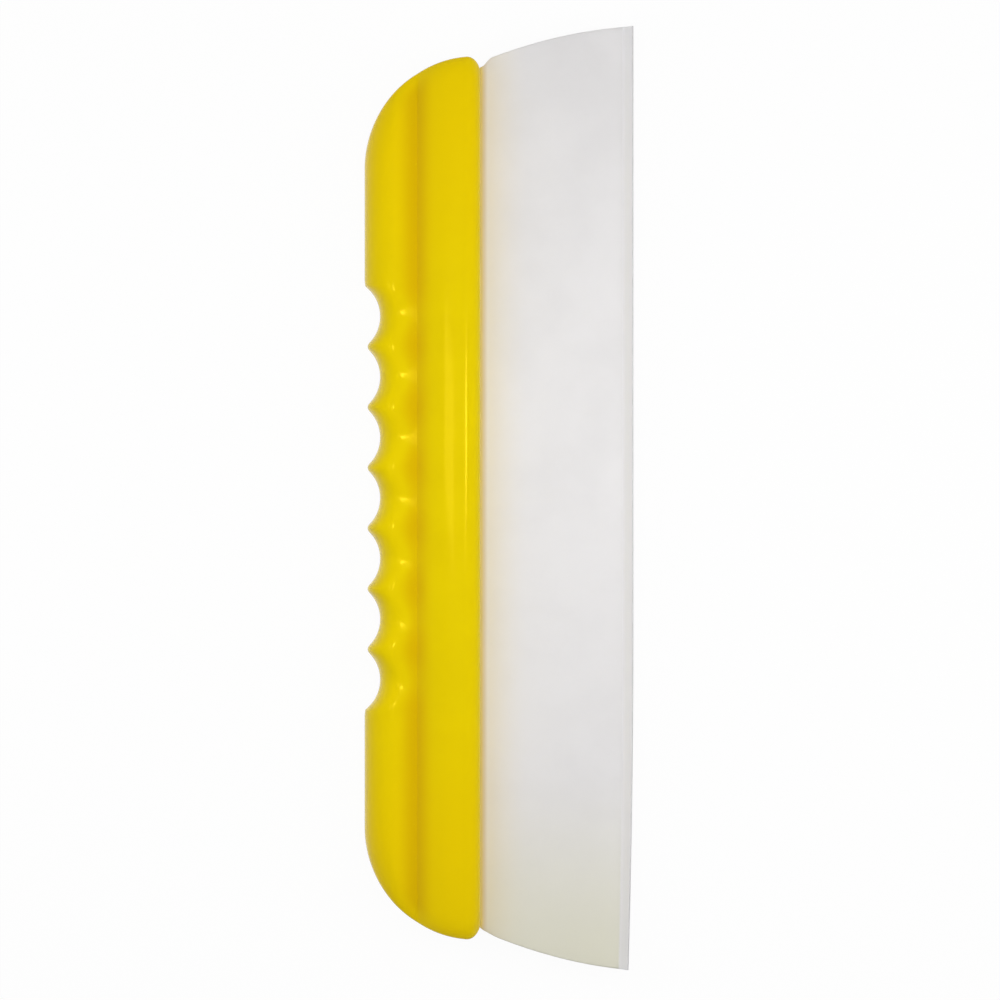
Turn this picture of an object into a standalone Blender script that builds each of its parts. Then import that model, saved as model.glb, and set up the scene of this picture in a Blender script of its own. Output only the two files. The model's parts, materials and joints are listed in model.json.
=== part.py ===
"""Hand squeegee: a scalloped two-shell handle that grips a soft silicone blade.

+X runs from the handle's back edge to the wiping edge, +Y along the length and
+Z through the thickness. The origin is the middle of the underside.
"""

import math

import bmesh
import bpy
from mathutils import Matrix, Vector

# Handle in plan
HANDLE_LENGTH = 0.2852
HANDLE_WIDTH = 0.0376
END_RADIUS = 0.036
NOSE_CORNER_WIDTH = 0.0046
NOSE_CORNER_DROP = 0.0055

# Finger scallops along the back edge
SCALLOP_COUNT = 7
SCALLOP_PITCH = 0.0196
SCALLOP_DEPTH = 0.0050
CUSP_BLEND = 0.0038
CROWN_SHIFT = 0.0026
CROWN_DIP = 0.0012

# Handle in section: half thicknesses are from the mid-plane, reaches from the back edge
RIDGE_REACH = 0.0087
RIDGE_HALF = 0.0093
CROWN_ROUND = 0.008
VALLEY_REACH = 0.0172
BODY_ARC = 0.023
LAND_HALF = 0.011
LAND_WIDTH = 0.003
NOSE_ROUND = 0.0051
NOSE_DROP = 0.0037
END_ROUND = 0.0006
END_REACH = 0.006
END_SHOULDER = 0.25
END_SINK = 0.0012
END_SINK_REACH = 0.025

# Coring of the shells
RIDGE_POCKET_WIDTH = 0.007
RIDGE_POCKET_DEPTH = 0.004
BODY_POCKET_WIDTH = 0.006
BODY_POCKET_DEPTH = 0.0055
RIB = 0.007
WALL = 0.0025

# Blade
BLADE_LENGTH = 0.305
BLADE_REACH = 0.0494
HEEL_INSET = 0.00145
END_BOW = 0.0019
HEEL_THICKNESS = 0.0034
NECK_THICKNESS = 0.0022
FLEX_OFFSET = 0.0165
LIP_HEIGHT = 0.0029
LIP_WIDTH = 0.008
LIP_EDGE = 0.0007

# Anchor bar of the blade, inside the handle
NOSE_WALL = 0.004
ANCHOR_WIDTH = 0.0064
ANCHOR_THICKNESS = 0.008
ANCHOR_CHAMFER = 0.0008
ANCHOR_INSET = 0.00885

# Dowel pins
PIN_RADIUS = 0.0016
PIN_CHAMFER = 0.0003
PIN_COVER = 0.003
GRIP_PIN_COVER = 0.0046
GRIP_PIN_INSET = 0.00315
ANCHOR_PIN_PITCH = 0.040
ANCHOR_PIN_MARGIN = 0.012

FIT_GAP = 0.0003

# Fineness of the curved faces
PIN_SIDES = 16
ROWS_PER_SCALLOP = 8
ROUND_STEPS = 6
FLANK_STEPS = 3
NOSE_STEPS = 5
END_STEPS = 3
BLADE_STEPS = 6

# Places that follow from the sizes above
BACK_X = -(HANDLE_WIDTH + BLADE_REACH) / 2
NOSE_X = BACK_X + HANDLE_WIDTH
TIP_X = NOSE_X + BLADE_REACH
NECK_X = TIP_X - LIP_HEIGHT
FLEX_X = NOSE_X + FLEX_OFFSET
LAND_END_X = NOSE_X - NOSE_ROUND
LAND_START_X = LAND_END_X - LAND_WIDTH
VALLEY_X = BACK_X + VALLEY_REACH
MID_Z = LAND_HALF
HALF_LENGTH = HANDLE_LENGTH / 2
END_CENTRE_X = BACK_X + END_RADIUS
END_CENTRE_Y = HALF_LENGTH - END_RADIUS
SCALLOP_RADIUS = (SCALLOP_PITCH**2 / 4 + SCALLOP_DEPTH**2) / (2 * SCALLOP_DEPTH)
SCALLOP_END_Y = SCALLOP_COUNT * SCALLOP_PITCH / 2
SLOT_HALF = HEEL_THICKNESS / 2 + FIT_GAP
ANCHOR_FRONT_X = NOSE_X - NOSE_WALL - FIT_GAP
ANCHOR_BACK_X = ANCHOR_FRONT_X - ANCHOR_WIDTH
ANCHOR_X = (ANCHOR_FRONT_X + ANCHOR_BACK_X) / 2
ANCHOR_HALF_LENGTH = HALF_LENGTH - ANCHOR_INSET
GRIP_PIN_X = BACK_X + RIDGE_REACH + GRIP_PIN_INSET

YELLOW = (0.80, 0.58, 0.005, 1.0)
MILKY = (0.84, 0.82, 0.80, 1.0)
IVORY = (0.72, 0.68, 0.58, 1.0)


def clear_scene():
    for obj in list(bpy.data.objects):
        bpy.data.objects.remove(obj, do_unlink=True)


def material(name, colour, roughness, metallic=0.0):
    made = bpy.data.materials.new(name)
    made.use_nodes = True
    shader = made.node_tree.nodes["Principled BSDF"]
    shader.inputs["Base Color"].default_value = colour
    shader.inputs["Roughness"].default_value = roughness
    shader.inputs["Metallic"].default_value = metallic
    made.diffuse_color = colour
    return made


def empty(name, location, parent=None):
    made = bpy.data.objects.new(name, None)
    bpy.context.scene.collection.objects.link(made)
    made.parent = parent
    made.location = location
    return made


def mesh_object(name, bm, look=None, parent=None, location=(0, 0, 0)):
    """An object from bm, whose points are already measured from the object's location."""
    bmesh.ops.recalc_face_normals(bm, faces=bm.faces)
    if bm.calc_volume(signed=True) < 0:
        bmesh.ops.reverse_faces(bm, faces=bm.faces)
    mesh = bpy.data.meshes.new(name)
    bm.to_mesh(mesh)
    bm.free()
    made = bpy.data.objects.new(name, mesh)
    bpy.context.scene.collection.objects.link(made)
    made.parent = parent
    made.location = location
    if look:
        mesh.materials.append(look)
    return made


def smooth_by_angle(obj, degrees=35.0):
    obj.data.polygons.foreach_set("use_smooth", [True] * len(obj.data.polygons))
    obj.data.set_sharp_from_angle(angle=math.radians(degrees))


def cut(obj, cutter):
    """Take the cutter's shape out of obj, once."""
    cutter.hide_render = True
    cutter.display_type = "WIRE"
    made = obj.modifiers.new("cut_" + cutter.name, "BOOLEAN")
    made.operation = "DIFFERENCE"
    made.solver = "EXACT"
    made.object = cutter


def smooth_max(a, b, blend):
    """The larger of a and b, with the corner between them rounded over blend."""
    overlap = max(blend - abs(a - b), 0.0)
    return max(a, b) + overlap * overlap / (4 * blend)


def quarter_round(t):
    """Height of a quarter circle at t of its width, both measured from 0 to 1."""
    t = min(max(t, 0.0), 1.0)
    return math.sqrt(t * (2 - t))


def arc_drop(reach, radius):
    """How far a circle falls below its top at a horizontal reach from it."""
    reach = min(max(reach, 0.0), radius)
    return radius - math.sqrt(radius * radius - reach * reach)


def scallop_depth(y):
    """Depth of the back edge's scallops at y, measured in from the straight edge."""
    if abs(y) >= SCALLOP_END_Y:
        return 0.0
    place = y / SCALLOP_PITCH + (SCALLOP_COUNT - 1) / 2
    index = min(max(round(place), 0), SCALLOP_COUNT - 1)
    offset = abs(place - index) * SCALLOP_PITCH
    depth = SCALLOP_DEPTH - arc_drop(offset, SCALLOP_RADIUS)
    if place < 0 or place > SCALLOP_COUNT - 1:
        return max(depth, 0.0)
    beside = SCALLOP_DEPTH - arc_drop(SCALLOP_PITCH - offset, SCALLOP_RADIUS)
    return smooth_max(depth, beside, CUSP_BLEND)


def back_edge(y):
    return BACK_X + scallop_depth(y)


def scallop_swing(y):
    """How far behind a scallop y lies: 1 at a scallop's middle, 0 at the points and past the ends."""
    place = y / SCALLOP_PITCH + (SCALLOP_COUNT - 1) / 2
    return 0.5 + 0.5 * math.cos(2 * math.pi * place) if abs(y) < SCALLOP_END_Y else 0.0


def crown_line(y):
    """The ridge's highest line, which swings in behind each scallop."""
    return BACK_X + RIDGE_REACH + CROWN_SHIFT * scallop_swing(y)


def end_limit(x):
    """The largest y of the handle's plan outline at x."""
    limit = END_CENTRE_Y + math.sqrt(max(END_RADIUS**2 - min(x - END_CENTRE_X, 0.0) ** 2, 0.0))
    into_corner = x - (NOSE_X - NOSE_CORNER_WIDTH)
    return limit - arc_drop(into_corner, NOSE_CORNER_WIDTH) * NOSE_CORNER_DROP / NOSE_CORNER_WIDTH


def end_distance(x, y):
    """How far inside the outline of the nearer end a plan point lies."""
    straight = end_limit(x) - abs(y)
    if x < END_CENTRE_X and abs(y) > END_CENTRE_Y:
        return min(END_RADIUS - math.hypot(END_CENTRE_X - x, abs(y) - END_CENTRE_Y), straight)
    return straight


def edge_rise(x, y):
    """The share of its full height that the rounded edge leaves a plan point: 0 on the outline.

    Along the back the whole height rounds over. Round the ends only a shoulder does, above a steep side.
    """
    dx = END_CENTRE_X - x
    dy = abs(y) - END_CENTRE_Y
    if dx > 0 and dy <= 0:
        return quarter_round((x - back_edge(y)) / (crown_line(y) - back_edge(y)))
    turn = dy * dy / (dx * dx + dy * dy) if dx > 0 else 1.0
    far = end_distance(x, y)
    shoulder = END_SHOULDER + (1 - END_SHOULDER) * (1 - turn) ** 3
    rounded = quarter_round(far / (RIDGE_REACH + (END_REACH - RIDGE_REACH) * turn))
    return (1 - shoulder) * quarter_round(far / END_ROUND) + shoulder * rounded


def flank_drop(reach, length, drop):
    """Fall of the ridge's inner flank at a reach from its crown: round at first, then nearly straight.

    It reaches drop at the given length.
    """
    bend = CROWN_ROUND * drop / length
    return drop * (math.hypot(reach, bend) - bend) / (math.hypot(length, bend) - bend)


def section_half(x, y):
    """Half thickness of the handle's section at x, before its edges are rounded."""
    near_end = min(max(1 - (end_limit(x) - abs(y)) / END_SINK_REACH, 0.0), 1.0)
    sink = END_SINK * near_end**2
    if x > LAND_START_X:
        return LAND_HALF - arc_drop(x - LAND_END_X, NOSE_ROUND) * NOSE_DROP / NOSE_ROUND - sink
    if x > VALLEY_X:
        return LAND_HALF - arc_drop(LAND_START_X - x, BODY_ARC) - sink
    crown = crown_line(y)
    top = RIDGE_HALF - CROWN_DIP * scallop_swing(y)
    valley = LAND_HALF - arc_drop(LAND_START_X - VALLEY_X, BODY_ARC)
    return top - flank_drop(max(x - crown, 0.0), VALLEY_X - crown, top - valley) - sink


def handle_height(x, y):
    """Height of the shell's outer face above its own seam face."""
    rise = section_half(x, y) * edge_rise(x, y)
    return rise * (1 - FIT_GAP / (2 * LAND_HALF))


def handle_columns(y):
    """The x of each line of points across the handle at y, from the back edge to the nose."""
    back = back_edge(y)
    crown = crown_line(y)
    steps = [1 - math.cos(math.pi / 2 * k / ROUND_STEPS) for k in range(ROUND_STEPS + 1)]
    columns = [back + (crown - back) * step for step in steps]
    columns += [crown + (VALLEY_X - crown) * k / FLANK_STEPS for k in range(1, FLANK_STEPS + 1)]
    columns += [VALLEY_X + (LAND_START_X - VALLEY_X) * k / FLANK_STEPS for k in range(1, FLANK_STEPS + 1)]
    columns += [LAND_END_X]
    turns = [math.pi / 2 * k / NOSE_STEPS for k in range(1, NOSE_STEPS + 1)]
    columns += [LAND_END_X + NOSE_ROUND * math.sin(turn) for turn in turns]
    return columns


def end_place(x, k):
    """The y of the k-th line of points past the last scallop, in the column at x."""
    limit = end_limit(x)
    inner = limit - RIDGE_REACH
    if k <= END_STEPS:
        return SCALLOP_END_Y + (inner - SCALLOP_END_Y) * k / END_STEPS
    turn = math.pi / 2 * (k - END_STEPS) / ROUND_STEPS
    return inner + RIDGE_REACH * math.sin(turn)


def shell_points():
    """Plan points of the shell as rows of (x, y), from the -Y end to the +Y end."""
    count = SCALLOP_COUNT * ROWS_PER_SCALLOP
    middle = [SCALLOP_END_Y * (2 * k / count - 1) for k in range(count + 1)]
    straight = handle_columns(SCALLOP_END_Y)
    end = [[(x, end_place(x, k)) for x in straight] for k in range(1, END_STEPS + ROUND_STEPS + 1)]
    rows = [[(x, -y) for x, y in row] for row in reversed(end)]
    rows += [[(x, y) for x in handle_columns(y)] for y in middle]
    return rows + end


def shell_body(name, up, look, parent):
    """One solid half of the handle; up is +1 for the front half and -1 for the rear half."""
    bm = bmesh.new()
    seam = MID_Z + up * FIT_GAP / 2
    rows = shell_points()
    last = len(rows) - 1
    grid = []
    for j, row in enumerate(rows):
        line = []
        for i, (x, y) in enumerate(row):
            rim = j in (0, last) or i == 0
            rise = 0.0 if rim else handle_height(x, y)
            line.append(bm.verts.new((x, y, seam + up * rise)))
        grid.append(line)
    foot = [bm.verts.new((row[-1][0], row[-1][1], seam)) for row in rows[1:-1]]
    foot = [grid[0][-1]] + foot + [grid[last][-1]]
    for j in range(last):
        for i in range(len(rows[0]) - 1):
            bm.faces.new((grid[j][i], grid[j][i + 1], grid[j + 1][i + 1], grid[j + 1][i]))
        wall = [grid[j][-1], foot[j], foot[j + 1], grid[j + 1][-1]]
        bm.faces.new(list(dict.fromkeys(wall)))
    rim = grid[0][:-1] + foot + grid[last][-2::-1] + [line[0] for line in grid[-2:0:-1]]
    bm.faces.new(rim)
    return mesh_object(name, bm, look, parent)


def box(bm, low, high):
    """Add a closed box between two corners."""
    centre = (Vector(low) + Vector(high)) / 2
    size = Vector(high) - Vector(low)
    place = Matrix.Translation(centre) @ Matrix.Diagonal((*size, 1.0))
    bmesh.ops.create_cube(bm, size=1.0, matrix=place)


def cylinder(bm, x, y, half, radius):
    """Add a closed upright cylinder centred on the mid-plane."""
    bmesh.ops.create_cone(
        bm,
        cap_ends=True,
        segments=PIN_SIDES,
        radius1=radius,
        radius2=radius,
        depth=2 * half,
        matrix=Matrix.Translation((x, y, MID_Z)),
    )


def extruded(bm, outline, half_length):
    """Add the closed XZ outline swept along Y; half_length gives each point's end."""
    near = [bm.verts.new((x, -half_length(x), z)) for x, z in outline]
    far = [bm.verts.new((x, half_length(x), z)) for x, z in outline]
    for k in range(len(outline)):
        n = (k + 1) % len(outline)
        bm.faces.new((near[k], near[n], far[n], far[k]))
    caps = [bm.faces.new(near), bm.faces.new(list(reversed(far)))]
    bm.normal_update()
    bmesh.ops.triangulate(bm, faces=caps)


def mirrored(upper):
    """A closed outline from its upper half, which runs left to right above z = 0."""
    return upper + [(x, -z) for x, z in reversed(upper) if z > 1e-9]


def anchor_pin_places():
    """Middles of the pins that pass through the anchor bar."""
    room = ANCHOR_HALF_LENGTH - ANCHOR_PIN_MARGIN
    pairs = int(room / ANCHOR_PIN_PITCH)
    return [k * ANCHOR_PIN_PITCH for k in range(-pairs, pairs + 1)]


def grip_pin_places():
    """Middles of the pins under the points between the scallops."""
    first = -(SCALLOP_COUNT - 2) / 2
    return [(first + k) * SCALLOP_PITCH for k in range(SCALLOP_COUNT - 1)]


def anchor_pin_half():
    return LAND_HALF - PIN_COVER


def grip_pin_half():
    return RIDGE_HALF - GRIP_PIN_COVER


def anchor_outline(gap):
    """Upper outline of the anchor bar, grown by gap, as far as the start of its neck."""
    bar = ANCHOR_THICKNESS / 2 + gap
    return [
        (ANCHOR_BACK_X - gap, bar - ANCHOR_CHAMFER),
        (ANCHOR_BACK_X - gap + ANCHOR_CHAMFER, bar),
        (ANCHOR_FRONT_X + gap - ANCHOR_CHAMFER, bar),
        (ANCHOR_FRONT_X + gap, HEEL_THICKNESS / 2 + gap),
    ]


def slot_cutter(parent):
    """The mouth and the anchor bar's chamber, with the fit gap all round."""
    bm = bmesh.new()
    upper = anchor_outline(FIT_GAP) + [(NOSE_X + WALL, SLOT_HALF)]
    extruded(bm, [(x, MID_Z + z) for x, z in mirrored(upper)], lambda x: ANCHOR_HALF_LENGTH + FIT_GAP)
    return mesh_object("slot_cutter", bm, None, parent)


def socket_cutter(parent):
    """Blind holes for every pin."""
    bm = bmesh.new()
    for y in anchor_pin_places():
        cylinder(bm, ANCHOR_X, y, anchor_pin_half() + FIT_GAP, PIN_RADIUS + FIT_GAP)
    for y in grip_pin_places():
        cylinder(bm, GRIP_PIN_X, y, grip_pin_half() + FIT_GAP, PIN_RADIUS + FIT_GAP)
    return mesh_object("socket_cutter", bm, None, parent)


def ridge_pocket_cutter(parent):
    """One pocket behind each scallop and a longer one towards each end."""
    bm = bmesh.new()
    x0 = GRIP_PIN_X - RIDGE_POCKET_WIDTH / 2
    x1 = GRIP_PIN_X + RIDGE_POCKET_WIDTH / 2
    spans = []
    for k in range(SCALLOP_COUNT):
        middle = (k - (SCALLOP_COUNT - 1) / 2) * SCALLOP_PITCH
        spans.append((middle - (SCALLOP_PITCH - RIB) / 2, middle + (SCALLOP_PITCH - RIB) / 2))
    outer = (SCALLOP_END_Y + RIB / 2, END_CENTRE_Y - WALL)
    spans.append(outer)
    spans.append((-outer[1], -outer[0]))
    for y0, y1 in spans:
        box(bm, (x0, y0, MID_Z - RIDGE_POCKET_DEPTH), (x1, y1, MID_Z + RIDGE_POCKET_DEPTH))
    return mesh_object("ridge_pocket_cutter", bm, None, parent)


def body_pocket_cutter(parent):
    """A row of pockets behind the anchor chamber, one beside each anchor pin."""
    bm = bmesh.new()
    x1 = ANCHOR_BACK_X - FIT_GAP - WALL
    x0 = x1 - BODY_POCKET_WIDTH
    reach = (ANCHOR_PIN_PITCH - RIB) / 2
    for y in anchor_pin_places():
        y0 = max(y - reach, -END_CENTRE_Y)
        y1 = min(y + reach, END_CENTRE_Y)
        box(bm, (x0, y0, MID_Z - BODY_POCKET_DEPTH), (x1, y1, MID_Z + BODY_POCKET_DEPTH))
    return mesh_object("body_pocket_cutter", bm, None, parent)


def shells(look, parent):
    """Both halves of the handle, cored and slotted by the same cutters."""
    cutters = [
        slot_cutter(parent),
        ridge_pocket_cutter(parent),
        body_pocket_cutter(parent),
        socket_cutter(parent),
    ]
    for name, up in (("front_shell", 1), ("rear_shell", -1)):
        shell = shell_body(name, up, look, parent)
        for cutter in cutters:
            cut(shell, cutter)
        smooth_by_angle(shell)


def pins(look, parent):
    """Round dowels with chamfered ends, a row through the anchor bar and a row under the ridge."""
    groups = (
        ("anchor_pin", ANCHOR_X, anchor_pin_places(), anchor_pin_half()),
        ("grip_pin", GRIP_PIN_X, grip_pin_places(), grip_pin_half()),
    )
    for name, x, places, half in groups:
        for k, y in enumerate(places):
            bm = bmesh.new()
            cylinder(bm, x, y, half, PIN_RADIUS)
            rims = [e for e in bm.edges if abs(e.verts[0].co.z - e.verts[1].co.z) < half]
            bmesh.ops.bevel(bm, geom=rims, offset=PIN_CHAMFER, segments=1, affect="EDGES")
            smooth_by_angle(mesh_object(f"{name}_{k + 1}", bm, look, parent))


def blade_half_length(x):
    """Half length of the exposed blade at x: a bowed line from the heel to the lip."""
    heel = HALF_LENGTH - HEEL_INSET
    share = min(max((x - NOSE_X) / (NECK_X - NOSE_X), 0.0), 1.0)
    return heel + (BLADE_LENGTH / 2 - heel) * share + 4 * END_BOW * share * (1 - share)


def root_half_length(x):
    """As blade_half_length, but stepped in where the neck and the anchor bar enter the handle."""
    return ANCHOR_HALF_LENGTH if x < NOSE_X + FIT_GAP / 2 else blade_half_length(x)


def blade_half(x):
    """Half thickness of the blade at x, tapering from the heel to the lip's neck."""
    share = (x - NOSE_X) / (NECK_X - NOSE_X)
    return (HEEL_THICKNESS + (NECK_THICKNESS - HEEL_THICKNESS) * share) / 2


def round_back(radius):
    """Upper left quarter of a circle about (0, 0), from its leftmost point to its top."""
    turns = [math.pi / 2 * k / ROUND_STEPS for k in range(ROUND_STEPS + 1)]
    return [(-radius * math.cos(a), radius * math.sin(a)) for a in turns]


def hollow_front(radius, half):
    """Upper half of a groove of this radius about (0, 0), from its corner down to its deepest point."""
    corner = math.asin(half / radius)
    turns = [corner * (1 - k / ROUND_STEPS) for k in range(ROUND_STEPS + 1)]
    return [(-radius * math.cos(a), radius * math.sin(a)) for a in turns]


def blade_stations(x0, x1):
    """Evenly spaced x between two ends, both left out."""
    return [x0 + (x1 - x0) * k / BLADE_STEPS for k in range(1, BLADE_STEPS)]


def blade_root(look, parent):
    """Anchor bar, neck and the fixed first part of the blade, hollowed at the flex line."""
    bm = bmesh.new()
    flex = blade_half(FLEX_X)
    groove = [(FLEX_X + x, z) for x, z in hollow_front(flex + FIT_GAP, flex)]
    heel_x = NOSE_X + FIT_GAP
    upper = anchor_outline(0.0)
    upper += [(NOSE_X, HEEL_THICKNESS / 2), (heel_x, blade_half(heel_x))]
    upper += [(x, blade_half(x)) for x in blade_stations(heel_x, groove[0][0])]
    upper += groove
    outline = [(x, MID_Z + z) for x, z in mirrored(upper)]
    extruded(bm, outline, root_half_length)
    root = mesh_object("blade_root", bm, look, parent)
    holes = bmesh.new()
    for y in anchor_pin_places():
        cylinder(holes, ANCHOR_X, y, anchor_pin_half(), PIN_RADIUS + FIT_GAP)
    cut(root, mesh_object("pin_hole_cutter", holes, None, parent))
    smooth_by_angle(root)
    return root


def blade_web(look, parent):
    """Free part of the blade; its origin is on the flex line."""
    bm = bmesh.new()
    flex = blade_half(FLEX_X)
    neck = NECK_THICKNESS / 2
    groove = [(NECK_X + x, z) for x, z in hollow_front(neck + FIT_GAP, neck)]
    upper = [(FLEX_X + x, z) for x, z in round_back(flex)]
    upper += [(x, blade_half(x)) for x in blade_stations(FLEX_X, groove[0][0])]
    upper += groove
    outline = [(x - FLEX_X, z) for x, z in mirrored(upper)]
    extruded(bm, outline, lambda x: blade_half_length(x + FLEX_X))
    web = mesh_object("blade_web", bm, look, parent, (FLEX_X, 0, MID_Z))
    smooth_by_angle(web)
    return web


def wiper_lip(look, parent):
    """Flared bar along the wiping edge; its origin is on the line where its neck rocks."""
    bm = bmesh.new()
    upper = round_back(NECK_THICKNESS / 2)
    upper += [(LIP_HEIGHT - LIP_EDGE, LIP_WIDTH / 2), (LIP_HEIGHT, LIP_WIDTH / 2)]
    extruded(bm, mirrored(upper), lambda x: BLADE_LENGTH / 2)
    lip = mesh_object("wiper_lip", bm, look, parent, (NECK_X - FLEX_X, 0, 0))
    smooth_by_angle(lip)
    return lip


def build():
    clear_scene()
    plastic = material("yellow_plastic", YELLOW, 0.32)
    silicone = material("milky_silicone", MILKY, 0.45)
    nylon = material("ivory_nylon", IVORY, 0.5)
    whole = empty("squeegee", (0, 0, 0))
    shells(plastic, whole)
    pins(nylon, whole)
    blade_root(silicone, whole)
    web = blade_web(silicone, whole)
    wiper_lip(silicone, web)


build()
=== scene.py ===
"""Looks of the hand squeegee: a glossy yellow handle of two shells around a milky silicone blade.

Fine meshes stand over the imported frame, in metres: +X runs to the wiping edge, +Y along the
length and +Z through the thickness.
"""

import json
import math

import bmesh
import bpy
import numpy as np
from mathutils import Matrix, Vector


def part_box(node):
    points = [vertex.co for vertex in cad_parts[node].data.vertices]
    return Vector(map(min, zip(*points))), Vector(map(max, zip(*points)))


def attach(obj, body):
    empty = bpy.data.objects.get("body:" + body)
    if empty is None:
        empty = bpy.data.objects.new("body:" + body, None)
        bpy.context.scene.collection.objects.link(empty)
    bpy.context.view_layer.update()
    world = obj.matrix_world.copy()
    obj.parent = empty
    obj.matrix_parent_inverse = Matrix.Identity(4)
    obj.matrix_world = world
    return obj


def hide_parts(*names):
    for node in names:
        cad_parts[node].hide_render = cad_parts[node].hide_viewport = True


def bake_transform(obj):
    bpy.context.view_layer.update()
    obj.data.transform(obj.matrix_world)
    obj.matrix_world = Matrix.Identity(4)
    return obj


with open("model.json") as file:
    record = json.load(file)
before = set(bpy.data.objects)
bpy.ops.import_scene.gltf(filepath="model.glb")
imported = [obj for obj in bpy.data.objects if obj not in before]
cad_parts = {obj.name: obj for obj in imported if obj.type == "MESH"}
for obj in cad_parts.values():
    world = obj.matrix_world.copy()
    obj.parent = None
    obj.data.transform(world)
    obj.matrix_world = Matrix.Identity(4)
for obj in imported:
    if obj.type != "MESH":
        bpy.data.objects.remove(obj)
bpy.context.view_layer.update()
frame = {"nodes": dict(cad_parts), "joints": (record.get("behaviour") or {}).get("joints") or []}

# Places that the frame gives
JOINT_PLACES = {joint["name"]: joint["pos_m"] for joint in frame["joints"]}
MID_Z = JOINT_PLACES["blade_flex"][2]
NECK_X = JOINT_PLACES["lip_flex"][0]
SHELL_LOW, SHELL_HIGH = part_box("front_shell")
ROOT_LOW, ROOT_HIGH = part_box("blade_root")
LIP_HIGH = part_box("wiper_lip")[1]
BACK_X = SHELL_LOW.x
NOSE_X = SHELL_HIGH.x
LAND_HALF = SHELL_HIGH.z - MID_Z
TIP_X = LIP_HIGH.x
LIP_HALF = LIP_HIGH.z - MID_Z
LIP_HALF_LENGTH = LIP_HIGH.y

# Handle in plan
HANDLE_LENGTH = 0.2852
END_RADIUS = 0.036
NOSE_CORNER_WIDTH = 0.0046
NOSE_CORNER_DROP = 0.0055
SCALLOP_COUNT = 7
SCALLOP_PITCH = 0.0196
SCALLOP_DEPTH = 0.0050
CUSP_BLEND = 0.0038
END_CUSP_BLEND = 0.0008

# Handle in section: half thicknesses are from the mid-plane, reaches from the plan outline
RIDGE_REACH = 0.0087
RIDGE_HALF = 0.0093
CROWN_ROUND = 0.008
CROWN_SHIFT = 0.0026
CROWN_DIP = 0.0012
VALLEY_REACH = 0.0172
BODY_ARC = 0.023
LAND_WIDTH = 0.003
NOSE_ROUND = 0.0051
NOSE_DROP = 0.0037
END_ROUND = 0.0006
END_REACH = 0.006
END_SHOULDER = 0.25
END_SINK = 0.0012
END_SINK_REACH = 0.025
SEAM_GAP = 0.0002

# Inside of the shells
FIT_GAP = 0.0003
HEEL_GAP = 0.00015
SLOT_HALF = 0.0020
MOUTH_FLARE = 0.0004
RIB = 0.007
WALL = 0.0025
RIDGE_POCKET_WIDTH = 0.007
RIDGE_POCKET_DEPTH = 0.004
BODY_POCKET_WIDTH = 0.006
BODY_POCKET_DEPTH = 0.0055

# Blade
ANCHOR_WIDTH = 0.0064
ANCHOR_CHAMFER = 0.0008
ANCHOR_INSET = 0.00885
HEEL_HALF = 0.0017
NECK_HALF = 0.0011
HEEL_INSET = 0.00145
HEEL_NOTCH = 0.0019
HEEL_NOTCH_REACH = 0.0026
HEEL_TUCK = 0.0011
HEEL_TUCK_REACH = 0.006
HEEL_HUG = 0.0025
END_BOW = 0.0019
BLADE_EDGE = 0.0004
BLADE_EDGE_SHARE = 0.8
LIP_LAND = 0.0004
LIP_EDGE = 0.00035
LIP_FILLET = 0.0014
TIP_CURL = 0.0016
CURL_START_Y = -0.045
LIP_SPLIT = 0.0003
LIP_SPLIT_GAP = 0.00002
LIP_SPLIT_CLEAR = 0.0001

# Places that follow
HALF_LENGTH = HANDLE_LENGTH / 2
END_CENTRE_X = BACK_X + END_RADIUS
END_CENTRE_Y = HALF_LENGTH - END_RADIUS
SCALLOP_END_Y = SCALLOP_COUNT * SCALLOP_PITCH / 2
SCALLOP_RADIUS = (SCALLOP_PITCH**2 / 4 + SCALLOP_DEPTH**2) / (2 * SCALLOP_DEPTH)
LAND_END_X = NOSE_X - NOSE_ROUND
LAND_START_X = LAND_END_X - LAND_WIDTH
VALLEY_X = BACK_X + VALLEY_REACH
ANCHOR_BACK_X = ROOT_LOW.x
ANCHOR_FRONT_X = ANCHOR_BACK_X + ANCHOR_WIDTH
ANCHOR_HALF = ROOT_HIGH.z - MID_Z
ANCHOR_HALF_LENGTH = HALF_LENGTH - ANCHOR_INSET
LIP_SPLIT_X = NECK_X - LIP_SPLIT

# Fineness of the meshes
BACK_STEPS = 22
FLANK_STEPS = 16
BODY_STEPS = 24
LAND_STEPS = 5
NOSE_STEPS = 18
ROWS_PER_SCALLOP = 28
STRAIGHT_ROWS = 84
BLADE_ROWS = 150
BLADE_EDGE_POINTS = 6
WEB_STEPS = 44
FILLET_POINTS = 7
RIM_POINTS = 6
PIN_SIDES = 32
SHARP_ANGLE = math.radians(30.0)
TINY_AREA = 1e-12

# Rows round the handle's ends: how they crowd, then shares of the way round
ROW_CROWDING = 1.7
GUIDE_LEAVES = 0.5
GUIDE_FADE = 0.4
CORNER_START = 0.7
CORNER_SPAN = 0.3

# Colours of the yellow plastic, one of them painted shade, and where they lie
YELLOW_DEEP = (0.83, 0.625, 0.0)
YELLOW_PALE = (0.855, 0.652, 0.0)
YELLOW_END = (0.875, 0.63, 0.0)
# Painted shade: the valley drawn darker and more orange, where shade falls in the crease
YELLOW_VALLEY_SHADE = (0.735, 0.47, 0.0)
YELLOW_WORN = (0.825, 0.618, 0.01)
YELLOW_GLOSS = (1.0, 0.72, 0.05, 1.0)
HANDLE_END_TINT = (0.05, 0.12)
# Where the valley's painted shade lies and how far it spreads on each side
VALLEY_SHADE_SHIFT = 0.0005
VALLEY_SHADE_BEHIND = 0.0063
VALLEY_SHADE_AHEAD = 0.0062
VALLEY_SHADE_PINCH = 0.5
VALLEY_SHADE_FADE = 0.35
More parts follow.
